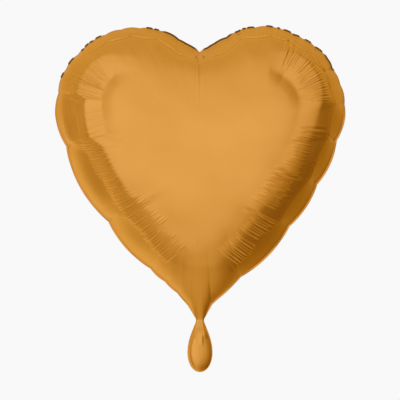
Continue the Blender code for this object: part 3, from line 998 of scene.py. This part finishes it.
def surroundings():
    """The world: plain white but for what the film mirrors, which changes with direction."""
    world = bpy.data.worlds.new("studio")
    world.use_nodes = True
    world.cycles.sampling_method = "NONE"
    bpy.context.scene.world = world
    nodes, links = world.node_tree.nodes, world.node_tree.links
    nodes.clear()

    def maths(operation, first, second):
        """A Math node whose inputs are sockets or numbers."""
        node = nodes.new("ShaderNodeMath")
        node.operation = operation
        for socket, value in zip(node.inputs, (first, second)):
            if isinstance(value, (int, float)):
                socket.default_value = value
            else:
                links.new(value, socket)
        return node.outputs[0]

    split = nodes.new("ShaderNodeSeparateXYZ")
    links.new(nodes.new("ShaderNodeTexCoord").outputs["Generated"], split.inputs[0])
    x, y, z = (split.outputs[axis] for axis in "XYZ")
    place = maths("MULTIPLY", maths("ADD", y, 1.0), 0.5)
    bright = ramp(nodes, links, place, [(at, (tone,) * 3) for at, tone in AROUND_THE_SET])
    turned = maths("MAXIMUM", maths("MULTIPLY", place, 2 * TOWARDS_RIGHT), TOWARDS_RIGHT)
    lower = maths("ADD", maths("MULTIPLY", maths("MULTIPLY", maths("POWER", place, 4.0), z), LOW_LEAN), 1.0)
    right = maths("MULTIPLY", x, maths("MULTIPLY", turned, maths("MAXIMUM", lower, 0.4)))
    sideways = maths("SUBTRACT", 1.0, maths("MULTIPLY", y, y))
    top = maths("MULTIPLY", maths("MULTIPLY", z, maths("POWER", sideways, 2.0)), TOWARDS_TOP)
    ahead = maths("MAXIMUM", maths("MULTIPLY", y, -1.0), 0.0)
    high = maths("MULTIPLY", maths("MULTIPLY", maths("MULTIPLY", z, z), ahead), WIDE_LIGHT)
    below = maths("POWER", maths("MAXIMUM", maths("MULTIPLY", z, -1.0), 0.0), 4.0)
    lean = maths("ADD", maths("ADD", right, top), maths("ADD", high, 1.0))
    mirrored = nodes.new("ShaderNodeBackground")
    shade = maths("ADD", maths("MULTIPLY", bright, lean), maths("MULTIPLY", below, FLOOR_LIGHT))
    tone = ramp(nodes, links, shade, SHADE_TONES)
    links.new(tone, mirrored.inputs["Color"])
    plain = nodes.new("ShaderNodeBackground")
    plain.inputs["Color"].default_value = BACKDROP
    mix = nodes.new("ShaderNodeMixShader")
    links.new(nodes.new("ShaderNodeLightPath").outputs["Is Glossy Ray"], mix.inputs[0])
    links.new(plain.outputs[0], mix.inputs[1])
    links.new(mirrored.outputs[0], mix.inputs[2])
    links.new(mix.outputs[0], nodes.new("ShaderNodeOutputWorld").inputs[0])


def softbox(name, place, size, watts):
    """A rectangular area light that faces the balloon."""
    light = bpy.data.lights.new(name, "AREA")
    light.shape = "RECTANGLE"
    light.size, light.size_y = size
    light.energy = watts
    thing = bpy.data.objects.new(name, light)
    thing.location = place
    thing.rotation_euler = (AIM - Vector(place)).to_track_quat("-Z", "Y").to_euler()
    bpy.context.scene.collection.objects.link(thing)
    return thing


def studio_floor():
    """A round pale floor well below the balloon, which hangs in the air."""
    mesh = bpy.data.meshes.new("studio_floor")
    shape = bmesh.new()
    bmesh.ops.create_circle(shape, cap_ends=True, radius=FLOOR_RADIUS, segments=128)
    shape.to_mesh(mesh)
    shape.free()
    floor = bpy.data.objects.new("studio_floor", mesh)
    floor.location.z = FLOOR_Z
    floor.data.materials.append(floor_paint())
    floor.visible_glossy = False
    bpy.context.scene.collection.objects.link(floor)


def camera():
    """The photographer's camera, level with the middle of the picture and far enough to look flat."""
    far, height, seen_width = 2.3, 0.1484, 0.4948
    data = bpy.data.cameras.new("camera")
    data.sensor_width = 36
    data.lens = data.sensor_width * far / seen_width
    thing = bpy.data.objects.new("camera", data)
    thing.location = (0, -far, height)
    thing.rotation_euler = (math.pi / 2, 0, 0)
    bpy.context.scene.collection.objects.link(thing)
    bpy.context.scene.camera = thing


# ---------------------------------------------------------------- the balloon

camera()
surroundings()
studio_floor()
overhead = softbox("overhead", place=(0, 0, 2.6), size=(3.0, 3.0), watts=18)
overhead.visible_glossy = False
bpy.context.scene.view_settings.view_transform = "Standard"

gold, pressed, milky = foil(), weld_foil(), valve_plastic()
seam = seam_run()

front_wrinkles = (FRONT_RIGHT_WRINKLES, FRONT_LEFT_WRINKLES)
back_wrinkles = (BACK_RIGHT_WRINKLES, BACK_LEFT_WRINKLES)
heart_front = heart_film("heart_front_film", FRONT, seam, front_wrinkles, FRONT_CREASES)
heart_back = heart_film("heart_back_film", BACK, seam, back_wrinkles, BACK_CREASES)
heart_edge = heart_weld(seam)
tail_front = tail_film("tail_front_foil", FRONT, False)
tail_back = tail_film("tail_back_foil", BACK, True)
tail_edge = tail_weld()
valve_front = valve_film("valve_front_sheet", "valve_front_film", FRONT)
valve_back = valve_film("valve_back_sheet", "valve_back_film", BACK)

for piece, material, slot, *nodes in (
    (heart_front, gold, "gold_film", "front_film", "neck_front_film"),
    (heart_back, gold, "gold_film", "back_film", "neck_back_film"),
    (heart_edge, pressed, "gold_weld", "edge_weld"),
    (tail_front, gold, "gold_film", "tail_front_film"),
    (tail_back, gold, "gold_film", "tail_back_film"),
    (tail_edge, pressed, "gold_weld", "tail_weld"),
    (valve_front, milky, "clear_film", "valve_front_film"),
    (valve_back, milky, "clear_film", "valve_back_film"),
):
    piece.data.materials.append(material)
    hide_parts(*nodes)

for piece in (heart_front, heart_back, heart_edge):
    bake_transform(piece)
for piece in (tail_front, tail_back, tail_edge):
    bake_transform(piece)
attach(valve_back, "valve")
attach(valve_front, "valve_lip")
